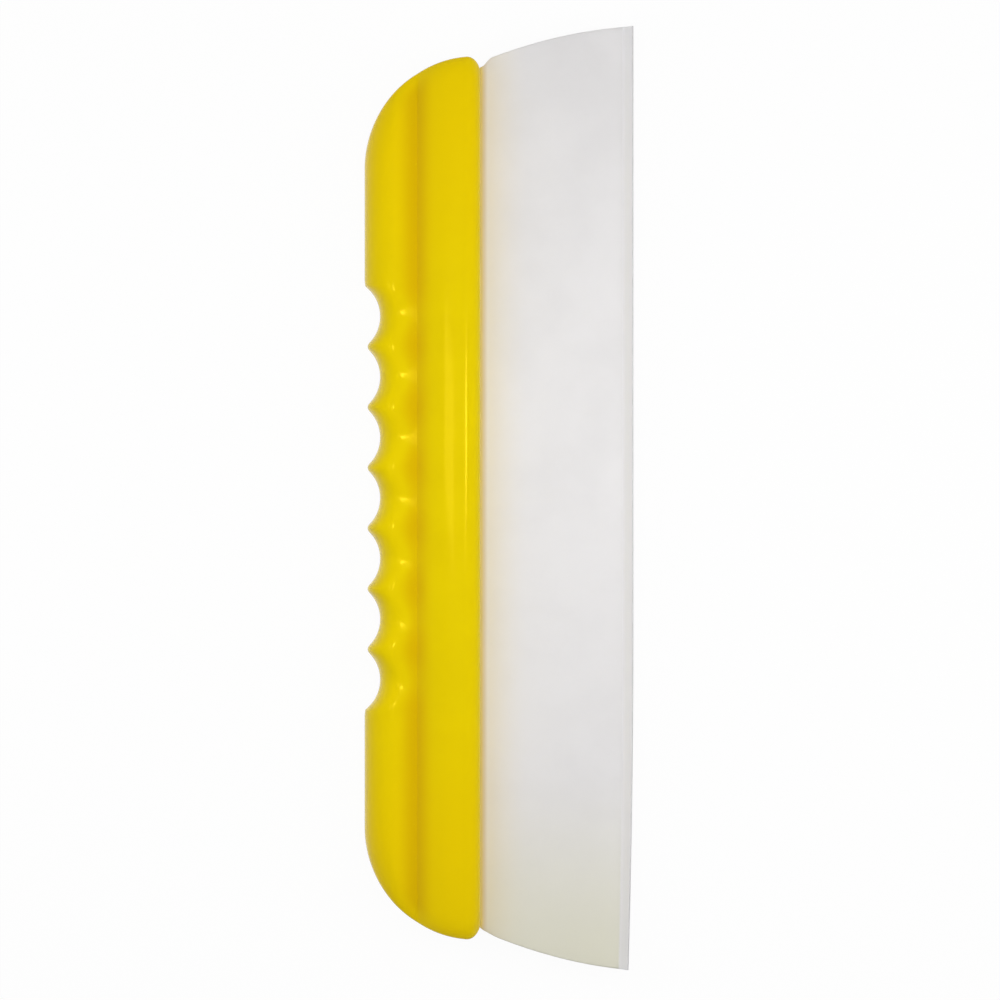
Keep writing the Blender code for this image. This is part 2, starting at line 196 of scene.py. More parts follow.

# Colours of the silicone, several of them painted light or shade, and where they lie: reaches are from
# the handle's nose
MILK_DULL = (0.79, 0.777, 0.78)
MILK_CLEAR = (0.825, 0.812, 0.815)
MILK_END = (0.785, 0.77, 0.64)
# Painted light: yellow light bounced from the handle onto the blade
MILK_YELLOW_BOUNCE = (0.90, 0.79, 0.55)
# Painted shade: contact shadow on the blade beside the nose
MILK_SHADE = (0.72, 0.615, 0.46)
# Painted light: strong yellow bounce on the blade right against the nose
MILK_NOSE_BOUNCE = (0.86, 0.69, 0.15)
# Painted light: the lip drawn paler and cooler, as though lit through the thin silicone
MILK_LIP_LIGHT = (0.945, 0.94, 0.96)
# Painted shade: the lip's outer rim drawn darker where it curves away
MILK_RIM_SHADE = (0.50, 0.49, 0.495)
BLADE_END_TINT = (0.085, 0.155)
# Reach of the painted yellow bounce light
YELLOW_BOUNCE_REACH = (0.0, 0.016)
SHADE_REACH = (0.0011, 0.0025)
NOSE_BOUNCE_REACH = (0.0, 0.0016)
LIP_LIGHT_REACH = (NECK_X - NOSE_X - 0.0008, NECK_X - NOSE_X)
RIM_SHADE_REACH = (TIP_X - NOSE_X - 0.0006, TIP_X - NOSE_X - 0.0002)
CLOUDY_REACH = (LIP_SPLIT_X - NOSE_X - 0.005, LIP_SPLIT_X - NOSE_X - 0.002)

# Colours of the dowels
NYLON_DEEP = (0.68, 0.63, 0.52)
NYLON_PALE = (0.76, 0.72, 0.62)

# The middle part of a noise, which holds most of its values
NOISE_SPREAD = (0.3, 0.7)

# Studio
FLOOR_REACH = 4.0
FLOOR_DROP = 0.0002
FLOOR_PAPER = (0.88, 0.88, 0.88, 1.0)
FLOOR_WHITE = 0.96
WORLD_LEVEL = 0.26
WORLD_LEAN = 0.5
STUDIO_HEIGHT = 0.8
CAMERA_HEIGHT = 1.2
CAMERA_X = 0.0004
CAMERA_Y = -0.00065
SENSOR_WIDTH = 36.0
VIEW_WIDTH = 0.324


def smooth_max(a, b, blend):
    """The larger of a and b, with the corner between them rounded over blend."""
    overlap = np.maximum(blend - np.abs(a - b), 0.0)
    return np.maximum(a, b) + overlap**2 / (4 * blend)


def smooth_step(t):
    """A smooth rise from 0 to 1 as t goes from 0 to 1."""
    t = np.clip(t, 0.0, 1.0)
    return t * t * (3 - 2 * t)


def quarter_round(t):
    """Height of a quarter circle at t of its width, both measured from 0 to 1."""
    t = np.clip(t, 0.0, 1.0)
    return np.sqrt(t * (2 - t))


def arc_drop(reach, radius):
    """How far a circle falls below its top at a horizontal reach from it."""
    reach = np.clip(reach, 0.0, radius)
    return radius - np.sqrt(radius**2 - reach**2)


def scallop_depth(y):
    """Depth of the back edge's scallops at y, measured in from the straight edge."""
    place = y / SCALLOP_PITCH + (SCALLOP_COUNT - 1) / 2
    index = np.clip(np.round(place), 0, SCALLOP_COUNT - 1)
    offset = np.abs(place - index) * SCALLOP_PITCH
    depth = SCALLOP_DEPTH - arc_drop(offset, SCALLOP_RADIUS)
    beside = SCALLOP_DEPTH - arc_drop(SCALLOP_PITCH - offset, SCALLOP_RADIUS)
    outermost = (place < 0) | (place > SCALLOP_COUNT - 1)
    inner = smooth_max(depth, beside, CUSP_BLEND)
    return np.where(outermost, smooth_max(depth, 0.0, END_CUSP_BLEND), inner)


def scallop_swing(y):
    """How far behind a scallop y lies: 1 at a scallop's middle, 0 at the points and past the ends."""
    wave = 0.5 + 0.5 * np.cos(2 * math.pi * y / SCALLOP_PITCH)
    return np.where(np.abs(y) < SCALLOP_END_Y, wave, 0.0)


def crown_line(y):
    """The ridge's highest line, which swings in behind each scallop."""
    return BACK_X + RIDGE_REACH + CROWN_SHIFT * scallop_swing(y)


def end_limit(x):
    """The largest y of the handle's plan outline at x."""
    across = np.minimum(x - END_CENTRE_X, 0.0)
    limit = END_CENTRE_Y + np.sqrt(np.maximum(END_RADIUS**2 - across**2, 0.0))
    into_corner = x - (NOSE_X - NOSE_CORNER_WIDTH)
    return limit - arc_drop(into_corner, NOSE_CORNER_WIDTH) * NOSE_CORNER_DROP / NOSE_CORNER_WIDTH


def end_distance(x, y):
    """How far inside the outline of the nearer end a plan point lies: along Y, except in the round."""
    dx = END_CENTRE_X - x
    dy = np.abs(y) - END_CENTRE_Y
    straight = end_limit(x) - np.abs(y)
    rounded = np.minimum(END_RADIUS - np.hypot(dx, dy), straight)
    return np.where((dx > 0) & (dy > 0), rounded, straight)


def edge_rise(x, y):
    """The share of its full height that the rounded edge leaves a plan point: 0 on the outline.

    Along the back the whole height rounds over. Round the ends only a shoulder does, above a
    steep side.
    """
    dx = END_CENTRE_X - x
    dy = np.abs(y) - END_CENTRE_Y
    turn = np.where(dx > 0, dy**2 / np.maximum(dx**2 + dy**2, TINY_AREA), 1.0)
    far = end_distance(x, y)
    back = BACK_X + scallop_depth(y)
    beside_back = quarter_round((x - back) / (crown_line(y) - back))
    shoulder = END_SHOULDER + (1 - END_SHOULDER) * (1 - turn) ** 3
    rounded = quarter_round(far / (RIDGE_REACH + (END_REACH - RIDGE_REACH) * turn))
    around_end = (1 - shoulder) * quarter_round(far / END_ROUND) + shoulder * rounded
    return np.where((dx > 0) & (dy <= 0), beside_back, around_end)


def flank_drop(reach, length, drop):
    """Fall of the ridge's inner flank at a reach from its crown: round at first, then nearly straight.

    It reaches drop at the given length.
    """
    bend = CROWN_ROUND * drop / length
    return drop * (np.hypot(reach, bend) - bend) / (np.hypot(length, bend) - bend)


def section_half(x, y):
    """Half thickness of the handle's section before its edges are rounded, sinking towards the ends."""
    crown = crown_line(y)
    top = RIDGE_HALF - CROWN_DIP * scallop_swing(y)
    valley = LAND_HALF - arc_drop(LAND_START_X - VALLEY_X, BODY_ARC)
    ridge = top - flank_drop(np.maximum(x - crown, 0.0), VALLEY_X - crown, top - valley)
    body = LAND_HALF - arc_drop(LAND_START_X - x, BODY_ARC)
    nose = LAND_HALF - arc_drop(x - LAND_END_X, NOSE_ROUND) * NOSE_DROP / NOSE_ROUND
    half = np.where(x < VALLEY_X, ridge, np.where(x < LAND_START_X, body, nose))
    near_end = np.clip(1 - (end_limit(x) - np.abs(y)) / END_SINK_REACH, 0.0, 1.0)
    return half - END_SINK * near_end**2


def handle_height(x, y):
    """Height of a shell's outer face above its own seam face."""
    rise = section_half(x, y) * edge_rise(x, y)
    return rise * (1 - SEAM_GAP / (2 * LAND_HALF))


def handle_columns(y):
    """The x of each line of points across the handle at every y, from the back edge to the nose."""
    back = (BACK_X + scallop_depth(y))[:, None]
    crown = crown_line(y)[:, None]
    rounding = 1 - np.cos(np.linspace(0, math.pi / 2, BACK_STEPS + 1))
    flank = np.linspace(0, 1, FLANK_STEPS + 1)[1:]
    body = np.tile(np.linspace(VALLEY_X, LAND_START_X, BODY_STEPS + 1)[1:], (len(y), 1))
    land = np.linspace(LAND_START_X, LAND_END_X, LAND_STEPS + 1)[1:]
    nose = LAND_END_X + NOSE_ROUND * np.sin(np.linspace(0, math.pi / 2, NOSE_STEPS + 1)[1:])
    level = np.tile(np.concatenate([land, nose]), (len(y), 1))
    behind = back + (crown - back) * rounding
    inner = crown + (VALLEY_X - crown) * flank
    return np.hstack([behind, inner, body, level])


def end_outline(t):
    """Points from the last scallop round the end to the nose corner, and the share of the turn made."""
    straight = END_CENTRE_Y - SCALLOP_END_Y
    corner_x = NOSE_X - NOSE_CORNER_WIDTH
    widest = math.acos((END_CENTRE_X - corner_x) / END_RADIUS)
    travel = t * (straight + END_RADIUS * widest)
    turn = np.clip((travel - straight) / END_RADIUS, 0.0, widest)
    x = END_CENTRE_X - END_RADIUS * np.cos(turn)
    y = np.minimum(SCALLOP_END_Y + travel, END_CENTRE_Y) + END_RADIUS * np.sin(turn)
    return x, y, turn / widest


def end_grid():
    """Plan points past the last scallop: rows from the back outline across to the nose.

    One column follows the valley and leaves it in the last half of the turn. The rows crowd
    towards the end, and the last ones take the shape of the nose corner.
    """
    t = 1 - (1 - np.linspace(0, 1, STRAIGHT_ROWS + 1)) ** ROW_CROWDING
    across = handle_columns(np.array([SCALLOP_END_Y]))[0]
    share = (across - across[0]) / (across[-1] - across[0])
    middle = (VALLEY_X - across[0]) / (across[-1] - across[0])
    out_x, out_y, turned = end_outline(t)
    free = out_x + (NOSE_X - out_x) * middle
    guide = VALLEY_X + (free - VALLEY_X) * smooth_step((turned - GUIDE_LEAVES) / GUIDE_FADE)
    out_x, out_y, guide = out_x[:, None], out_y[:, None], guide[:, None]
    behind = out_x + (guide - out_x) * share / middle
    ahead = guide + (NOSE_X - guide) * (share - middle) / (1 - middle)
    x = np.where(share < middle, behind, ahead)
    nose_y = SCALLOP_END_Y + t[:, None] * (end_limit(NOSE_X) - SCALLOP_END_Y)
    y = out_y + (nose_y - out_y) * (x - out_x) / (NOSE_X - out_x)
    around = math.pi / 2 * (x[-1] - x[-1, 0]) / (NOSE_X - x[-1, 0])
    corner_x = NOSE_X - NOSE_CORNER_WIDTH * (1 - np.sin(around))
    corner_y = end_limit(corner_x)
    bulge = smooth_step((t[:, None] - CORNER_START) / CORNER_SPAN)
    return (x + bulge * (corner_x - x[-1]))[1:], (y + bulge * (corner_y - y[-1]))[1:]


def shell_grid():
    """Plan points of the handle as arrays of x and y, from the -Y end to the +Y end."""
    middle = np.linspace(-SCALLOP_END_Y, SCALLOP_END_Y, SCALLOP_COUNT * ROWS_PER_SCALLOP + 1)
    x = handle_columns(middle)
    y = np.tile(middle[:, None], (1, x.shape[1]))
    end_x, end_y = end_grid()
    return np.vstack([end_x[::-1], x, end_x]), np.vstack([-end_y[::-1], y, end_y])


def mesh_object(name, bm):
    """An object from bm, with its faces turned outwards."""
    bmesh.ops.recalc_face_normals(bm, faces=bm.faces)
    if bm.calc_volume(signed=True) < 0:
        bmesh.ops.reverse_faces(bm, faces=bm.faces)
    mesh = bpy.data.meshes.new(name)
    bm.to_mesh(mesh)
    bm.free()
    made = bpy.data.objects.new(name, mesh)
    bpy.context.scene.collection.objects.link(made)
    return made


def smooth_by_angle(obj):
    """Shade the object smooth, with sharp edges where its faces turn by more than SHARP_ANGLE."""
    obj.data.polygons.foreach_set("use_smooth", [True] * len(obj.data.polygons))
    obj.data.set_sharp_from_angle(angle=SHARP_ANGLE)


def carve(body, cutter):
    """Take the cutter's shape out of body for good, and drop the cutter."""
    made = body.modifiers.new("carve", "BOOLEAN")
    made.operation = "DIFFERENCE"
    made.solver = "EXACT"
    made.object = cutter
    depsgraph = bpy.context.evaluated_depsgraph_get()
    carved = bpy.data.meshes.new_from_object(body.evaluated_get(depsgraph))
    body.modifiers.clear()
    whole = body.data
    body.data = carved
    bpy.data.meshes.remove(whole)
    bpy.data.objects.remove(cutter, do_unlink=True)


def box(bm, low, high):
    """Add a closed box between two corners."""
    centre = (Vector(low) + Vector(high)) / 2
    size = Vector(high) - Vector(low)
    place = Matrix.Translation(centre) @ Matrix.Diagonal((*size, 1.0))
    bmesh.ops.create_cube(bm, size=1.0, matrix=place)


def pin_nodes(kind):
    """Names of the frame's pins of one kind, in order."""
    return sorted(name for name in frame["nodes"] if name.startswith(kind))


def pin_holes(bm, nodes, gap):
    """Add an upright cylinder round each pin node, grown by gap."""
    for node in nodes:
        low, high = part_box(node)
        bmesh.ops.create_cone(
            bm,
            cap_ends=True,
            segments=PIN_SIDES,
            radius1=(high.x - low.x) / 2 + gap,
            radius2=(high.x - low.x) / 2 + gap,
            depth=high.z - low.z + 2 * gap,
            matrix=Matrix.Translation((low + high) / 2),
        )


def anchor_outline(gap):
    """Upper outline of the anchor bar, grown by gap, as far as the start of its neck."""
    bar = ANCHOR_HALF + gap
    return [
        (ANCHOR_BACK_X - gap, bar - ANCHOR_CHAMFER),
        (ANCHOR_BACK_X - gap + ANCHOR_CHAMFER, bar),
        (ANCHOR_FRONT_X + gap - ANCHOR_CHAMFER, bar),
        (ANCHOR_FRONT_X + gap, HEEL_HALF + gap),
    ]


def swept_bar(bm, upper, places):
    """Add the closed bar whose section is upper and its mirror image, swept along Y.

    places(x, z) gives the rows of one section point as arrays of y and of height.
    """
    rings = []
    for x, z in upper:
        y, height = places(x, z)
        over = [bm.verts.new((x, b, MID_Z + h)) for b, h in zip(y, height)]
        under = [bm.verts.new((x, b, MID_Z - h)) for b, h in zip(y, height)]
        rings.append((over, under))
    last = len(rings[0][0]) - 1
    for (over, under), (next_over, next_under) in zip(rings, rings[1:]):
        for j in range(last):
            bm.faces.new((over[j], next_over[j], next_over[j + 1], over[j + 1]))
            bm.faces.new((under[j], under[j + 1], next_under[j + 1], next_under[j]))
        for j in (0, last):
            bm.faces.new((over[j], under[j], next_under[j], next_over[j]))
    for over, under in (rings[0], rings[-1]):
        for j in range(last):
            bm.faces.new((over[j], over[j + 1], under[j + 1], under[j]))


def slot_cutter():
    """The mouth and the anchor bar's chamber, with the fit gap all round."""
    bm = bmesh.new()
    half = ANCHOR_HALF_LENGTH + FIT_GAP
    upper = anchor_outline(FIT_GAP)
    upper.append((NOSE_X - MOUTH_FLARE, SLOT_HALF))
    upper.append((NOSE_X + MOUTH_FLARE, SLOT_HALF + 2 * MOUTH_FLARE))
    swept_bar(bm, upper, lambda x, z: ((-half, half), (z, z)))
    return mesh_object("slot_cutter", bm)


def pocket_cutter():
    """Coring pockets: one behind each scallop, one towards each end, one beside each anchor pin."""
    bm = bmesh.new()
    low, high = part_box(pin_nodes("grip_pin")[0])
    middle = (low.x + high.x) / 2
    x0 = middle - RIDGE_POCKET_WIDTH / 2
    x1 = middle + RIDGE_POCKET_WIDTH / 2
    reach = (SCALLOP_PITCH - RIB) / 2
    middles = [(k - (SCALLOP_COUNT - 1) / 2) * SCALLOP_PITCH for k in range(SCALLOP_COUNT)]
    spans = [(y - reach, y + reach) for y in middles]
    spans.append((SCALLOP_END_Y + RIB / 2, END_CENTRE_Y - WALL))
    spans.append((WALL - END_CENTRE_Y, -SCALLOP_END_Y - RIB / 2))
    for y0, y1 in spans:
        box(bm, (x0, y0, MID_Z - RIDGE_POCKET_DEPTH), (x1, y1, MID_Z + RIDGE_POCKET_DEPTH))
    x1 = ANCHOR_BACK_X - FIT_GAP - WALL
    x0 = x1 - BODY_POCKET_WIDTH
    places = [(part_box(node)[0].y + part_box(node)[1].y) / 2 for node in pin_nodes("anchor_pin")]
    reach = (places[1] - places[0] - RIB) / 2
    for y in places:
        y0 = max(y - reach, -END_CENTRE_Y)
        y1 = min(y + reach, END_CENTRE_Y)
        box(bm, (x0, y0, MID_Z - BODY_POCKET_DEPTH), (x1, y1, MID_Z + BODY_POCKET_DEPTH))
    return mesh_object("pocket_cutter", bm)


def socket_cutter():
    """The sockets of all the pins, with the fit gap all round."""
    bm = bmesh.new()
    pin_holes(bm, pin_nodes("anchor_pin") + pin_nodes("grip_pin"), FIT_GAP)
    return mesh_object("socket_cutter", bm)


def shell(name, up):
    """One half of the handle; up is +1 for the front half and -1 for the rear half."""
    bm = bmesh.new()
    seam = MID_Z + up * SEAM_GAP / 2
    x, y = shell_grid()
    rise = handle_height(x, y)
    rise[:, 0] = 0.0
    rise[0] = 0.0
    rise[-1] = 0.0
    grid = [[bm.verts.new(p) for p in zip(*row)] for row in zip(x, y, seam + up * rise)]
    last = len(grid) - 1
    foot = [bm.verts.new((x[j, -1], y[j, -1], seam)) for j in range(1, last)]
    foot = [grid[0][-1]] + foot + [grid[last][-1]]
    for j in range(last):
        for i in range(x.shape[1] - 1):
            bm.faces.new((grid[j][i], grid[j][i + 1], grid[j + 1][i + 1], grid[j + 1][i]))
        wall = [grid[j][-1], foot[j], foot[j + 1], grid[j + 1][-1]]
        bm.faces.new(list(dict.fromkeys(wall)))
    rim = grid[0][:-1] + foot + grid[last][-2::-1] + [line[0] for line in grid[-2:0:-1]]
    bm.faces.new(rim)
    bm.normal_update()
    made = mesh_object(name, bm)
    for cutter in (slot_cutter(), pocket_cutter(), socket_cutter()):
        carve(made, cutter)
    smooth_by_angle(made)
    return made


def blade_ends(x):
    """The y of the blade's two ends at x: bowed from the heel to the lip, short inside the handle.

    The +Y end is notched beside the handle, and the -Y end is drawn in a little there.
    """
    if x < NOSE_X + HEEL_GAP / 2:
        return -ANCHOR_HALF_LENGTH, ANCHOR_HALF_LENGTH
    heel = HALF_LENGTH - HEEL_INSET
    share = min((x - NOSE_X) / (NECK_X - NOSE_X), 1.0)
    half = heel + (LIP_HALF_LENGTH - heel) * share + 4 * END_BOW * share * (1 - share)
    notch = HEEL_NOTCH * max(1 - ((x - NOSE_X) / HEEL_NOTCH_REACH) ** 4, 0.0)
    tuck = HEEL_TUCK * (1 - share + max(1 - (x - NOSE_X) / HEEL_TUCK_REACH, 0.0) ** 2)
    return tuck - half, half - notch


def blade_half(x):
    """Half thickness of the blade at x, tapering from the heel to the lip's neck."""
    return HEEL_HALF + (NECK_HALF - HEEL_HALF) * (x - NOSE_X) / (NECK_X - NOSE_X)


def blade_places(x, z):
    """Rows of one point of the blade's section, with its end edges rounded over."""
    low, high = blade_ends(x)
    inside = BLADE_EDGE * (1 - np.cos(np.linspace(0, math.pi / 2, BLADE_EDGE_POINTS)))
    y = np.linspace(low + BLADE_EDGE, high - BLADE_EDGE, BLADE_ROWS)
    y = np.concatenate([low + inside[:-1], y, high - inside[-2::-1]])
    edge = min(BLADE_EDGE, BLADE_EDGE_SHARE * z)
    drop = edge * (1 - quarter_round(np.minimum(y - low, high - y) / BLADE_EDGE))
    return y, z - drop


def store(obj, name, values):
    """Keep one number per point for the materials."""
    made = obj.data.attributes.new(name, "FLOAT", "POINT")
    made.data.foreach_set("value", np.asarray(values, dtype=np.float32))


def points_of(obj):
    """The object's points as rows of x, y and z."""
    points = np.empty(len(obj.data.vertices) * 3)
    obj.data.vertices.foreach_get("co", points)
    return points.reshape(-1, 3)


def corner_gap(y):
    """How far the handle's outline falls back from the nose at y, round its corners."""
    into = np.clip((np.abs(y) - HALF_LENGTH) / NOSE_CORNER_DROP + 1, 0.0, 1.0)
    return arc_drop(into * NOSE_CORNER_WIDTH, NOSE_CORNER_WIDTH)


def settle(obj):
    """Draw the blade's heel in to the handle's corners and bend its -Y end back a little.

    The bend grows towards the wiping edge. The places before it are stored for the material.
    """
    points = points_of(obj)
    reach = points[:, 0] - NOSE_X
    store(obj, "reach", reach)
    store(obj, "along", -points[:, 1])
    along = np.clip((CURL_START_Y - points[:, 1]) / (CURL_START_Y + LIP_HALF_LENGTH), 0.0, 1.0)
    out = np.clip(reach / (TIP_X - NOSE_X), 0.0, 1.0)
    near = np.clip(1 - reach / HEEL_HUG, 0.0, 1.0) * (reach > HEEL_GAP / 2)
    points[:, 0] -= TIP_CURL * along**2 * out**2 + corner_gap(points[:, 1]) * near
    obj.data.vertices.foreach_set("co", points.ravel())
    obj.data.update()


def blade():
    """Anchor bar, neck and the whole free blade in one moulding, up to the wiping lip."""
    bm = bmesh.new()
    upper = anchor_outline(0.0)
    upper.append((NOSE_X, HEEL_HALF))
    stations = np.linspace(NOSE_X + HEEL_GAP, LIP_SPLIT_X, WEB_STEPS + 1)
    upper += [(x, blade_half(x)) for x in stations]
    swept_bar(bm, upper, blade_places)
    made = mesh_object("blade", bm)
    holes = bmesh.new()
    pin_holes(holes, pin_nodes("anchor_pin"), FIT_GAP)
    carve(made, mesh_object("pin_hole_cutter", holes))
    settle(made)
    smooth_by_angle(made)
    return made


def lip_outline():
    """Upper outline of the lip: a hollow fillet out of the neck, the flare and a rounded rim."""
    start = blade_half(LIP_SPLIT_X)
    flare = math.atan2(LIP_HALF - NECK_HALF, TIP_X - LIP_LAND - NECK_X)
    reach = LIP_FILLET * math.tan(flare / 2)
    hollow = np.linspace(0, flare, FILLET_POINTS)
    hollow_x = NECK_X - reach + LIP_FILLET * np.sin(hollow)
    hollow_z = NECK_HALF + LIP_FILLET * (1 - np.cos(hollow))
    rim = np.linspace(math.pi / 2 + flare / 2, 0, RIM_POINTS)
    rim_x = TIP_X - LIP_EDGE * (1 - np.cos(rim))
    rim_z = LIP_HALF - LIP_EDGE * (1 - np.sin(rim))
    first_x = LIP_SPLIT_X + LIP_SPLIT_CLEAR
    outline = [(LIP_SPLIT_X + LIP_SPLIT_GAP, start)]
    outline += [(x, z) for x, z in zip(hollow_x, hollow_z) if x > first_x]
    outline.append((TIP_X - LIP_LAND, LIP_HALF - LIP_EDGE / 4))
    outline += list(zip(rim_x, rim_z))
    outline.append((TIP_X, LIP_HALF / 2))
    return outline


def wiping_lip():
    """Flared bar along the wiping edge."""
    bm = bmesh.new()
    swept_bar(bm, lip_outline(), blade_places)
    made = mesh_object("wiping_lip", bm)
    settle(made)
    smooth_by_angle(made)
    return made


def new_material(name):
    """An empty node material and its Principled shader, already linked to the output."""
    made = bpy.data.materials.new(name)
    made.use_nodes = True
    return made, made.node_tree, made.node_tree.nodes["Principled BSDF"]


def node(tree, kind, **settings):
    """A new node of a kind, with its settings."""
    made = tree.nodes.new(kind)
    for key, value in settings.items():
        setattr(made, key, value)
    return made


def noise(tree, scale, detail=3.0, stretch=(1.0, 1.0, 1.0)):
    """A noise in object space; scale counts its waves per metre."""
    place = node(tree, "ShaderNodeTexCoord")
    mapping = node(tree, "ShaderNodeMapping")
    mapping.inputs["Scale"].default_value = stretch
    made = node(tree, "ShaderNodeTexNoise")
    made.inputs["Scale"].default_value = scale
    made.inputs["Detail"].default_value = detail
    tree.links.new(place.outputs["Object"], mapping.inputs["Vector"])
    tree.links.new(mapping.outputs["Vector"], made.inputs["Vector"])
    return made.outputs["Fac"]


def remap(tree, value, low, high, to_low, to_high):
    """A value that goes smoothly from to_low to to_high as the given one goes from low to high."""
    made = node(tree, "ShaderNodeMapRange", interpolation_type="SMOOTHSTEP")
    made.inputs["From Min"].default_value = low
    made.inputs["From Max"].default_value = high
    made.inputs["To Min"].default_value = to_low
    made.inputs["To Max"].default_value = to_high
    tree.links.new(value, made.inputs["Value"])
    return made.outputs["Result"]


def mixed(tree, share, first, second):
    """A colour between first and second; each is a socket or a plain colour."""
    made = node(tree, "ShaderNodeMix", data_type="RGBA")
    tree.links.new(share, made.inputs["Factor"])
    for key, colour in (("A", first), ("B", second)):
        socket = next(s for s in made.inputs if s.name == key and s.type == "RGBA")
        if isinstance(colour, bpy.types.NodeSocket):
            tree.links.new(colour, socket)
        else:
            socket.default_value = (*colour, 1.0)
    return next(s for s in made.outputs if s.type == "RGBA")


def bump(tree, height, distance, below=None):
    """A relief of the given depth in metres, over the one below it."""
    made = node(tree, "ShaderNodeBump")
    made.inputs["Strength"].default_value = 1.0
    made.inputs["Distance"].default_value = distance
    tree.links.new(height, made.inputs["Height"])
    if below:
        tree.links.new(below, made.inputs["Normal"])
    return made.outputs["Normal"]


def attribute(tree, name):
    """A number that store() kept on the points."""
    return node(tree, "ShaderNodeAttribute", attribute_name=name).outputs["Fac"]


def yellow_plastic():
    """Glossy moulded plastic: painted shade in the valley, a little uneven in tone, with faint orange
    peel.
    """
    made, tree, shader = new_material("yellow_plastic")
    uneven = remap(tree, noise(tree, 60.0), *NOISE_SPREAD, 0, 1)
    tone = mixed(tree, uneven, YELLOW_DEEP, YELLOW_PALE)
    golden = remap(tree, attribute(tree, "along"), *HANDLE_END_TINT, 0.0, 1.0)
    tone = mixed(tree, golden, tone, YELLOW_END)
    # Painted shade in the valley, carried by the stored hollow number
    tone = mixed(tree, attribute(tree, "hollow"), tone, YELLOW_VALLEY_SHADE)
    worn = remap(tree, noise(tree, 900.0, 4.0), 0.60, 0.75, 0.0, 0.25)
    tone = mixed(tree, worn, tone, YELLOW_WORN)
    tree.links.new(tone, shader.inputs["Base Color"])
    matt = remap(tree, noise(tree, 300.0), *NOISE_SPREAD, 0.06, 0.10)
    tree.links.new(matt, shader.inputs["Roughness"])
    shader.inputs["Specular Tint"].default_value = YELLOW_GLOSS
    shader.inputs["IOR"].default_value = 1.5
    peel = bump(tree, noise(tree, 420.0, 2.0), 0.00001)
    grain = bump(tree, noise(tree, 5000.0, 2.0), 0.000002, peel)
    tree.links.new(grain, shader.inputs["Normal"])
    return made


def milky_silicone():
    """Soft translucent silicone: cloudy white, with painted yellow bounce light and painted shade
    beside the handle, a painted lighter lip with a painted shaded rim, and a fine matt skin.
    """
    made, tree, shader = new_material("milky_silicone")
    cloud = remap(tree, noise(tree, 45.0, 4.0), *NOISE_SPREAD, 0, 1)
    tone = mixed(tree, cloud, MILK_DULL, MILK_CLEAR)
    along = remap(tree, attribute(tree, "along"), *BLADE_END_TINT, 0.0, 1.0)
    tone = mixed(tree, along, tone, MILK_END)
    reach = attribute(tree, "reach")
    # Painted yellow bounce light from the handle, fading out over its reach
    yellow_bounce = remap(tree, reach, *YELLOW_BOUNCE_REACH, 0.38, 0.0)
    tone = mixed(tree, yellow_bounce, tone, MILK_YELLOW_BOUNCE)
    # Painted shade on the blade just beside the nose
    beside = remap(tree, reach, *SHADE_REACH, 0.8, 0.0)
    tone = mixed(tree, beside, tone, MILK_SHADE)
    # Painted yellow bounce light right against the nose
    nose_bounce = remap(tree, reach, *NOSE_BOUNCE_REACH, 0.9, 0.0)
    tone = mixed(tree, nose_bounce, tone, MILK_NOSE_BOUNCE)
    # Painted light on the lip, paler and cooler than the blade
    lip_light = remap(tree, reach, *LIP_LIGHT_REACH, 0.0, 0.95)
    tone = mixed(tree, lip_light, tone, MILK_LIP_LIGHT)
    # Painted shade along the lip's outer rim
    rim = remap(tree, reach, *RIM_SHADE_REACH, 0.0, 0.75)
    tone = mixed(tree, rim, tone, MILK_RIM_SHADE)
    tree.links.new(tone, shader.inputs["Base Color"])
    matt = remap(tree, noise(tree, 500.0), *NOISE_SPREAD, 0.28, 0.36)
    tree.links.new(matt, shader.inputs["Roughness"])
    deep = remap(tree, reach, *CLOUDY_REACH, 0.3, 0.0)
    tree.links.new(deep, shader.inputs["Subsurface Weight"])
    shader.inputs["Subsurface Radius"].default_value = (1.0, 1.0, 1.0)
    shader.inputs["Subsurface Scale"].default_value = 0.0006
    shader.inputs["IOR"].default_value = 1.41
    wave = bump(tree, noise(tree, 160.0, 2.0), 0.00002)
    skin = bump(tree, noise(tree, 2500.0, 3.0), 0.000006, wave)
    tree.links.new(skin, shader.inputs["Normal"])
    return made


def ivory_nylon():
    """Satin nylon of the dowels."""
    made, tree, shader = new_material("ivory_nylon")
    tone = mixed(tree, noise(tree, 700.0), NYLON_DEEP, NYLON_PALE)
    tree.links.new(tone, shader.inputs["Base Color"])
    matt = remap(tree, noise(tree, 1500.0), *NOISE_SPREAD, 0.45, 0.6)
    tree.links.new(matt, shader.inputs["Roughness"])
    lathe = bump(tree, noise(tree, 900.0, 2.0, (1.0, 1.0, 8.0)), 0.00001)
    tree.links.new(lathe, shader.inputs["Normal"])
    return made


def mark_handle(obj):
    """Store each point's distance from the middle, and from 0 to 1 how much painted shade it takes in
    the valley.
    """
    x, y, _ = points_of(obj).T
    store(obj, "along", np.abs(y))
    swing = scallop_swing(y)
    # The valley's painted shade: strongest at the crease, narrower and weaker behind the scallops,
    # fading out at the ends
    off = x - (VALLEY_X - VALLEY_SHADE_SHIFT)
    width = np.where(off < 0, VALLEY_SHADE_BEHIND * (1 - VALLEY_SHADE_PINCH * swing), VALLEY_SHADE_AHEAD)
    depth = smooth_step(1 - np.abs(off) / width) * (1 - VALLEY_SHADE_FADE * swing)
    store(obj, "hollow", depth * smooth_step((end_distance(x, y) - END_ROUND) / END_REACH))


def dress(obj, look):
    """Give the object one material in place of any other."""
    obj.data.materials.clear()
    obj.data.materials.append(look)


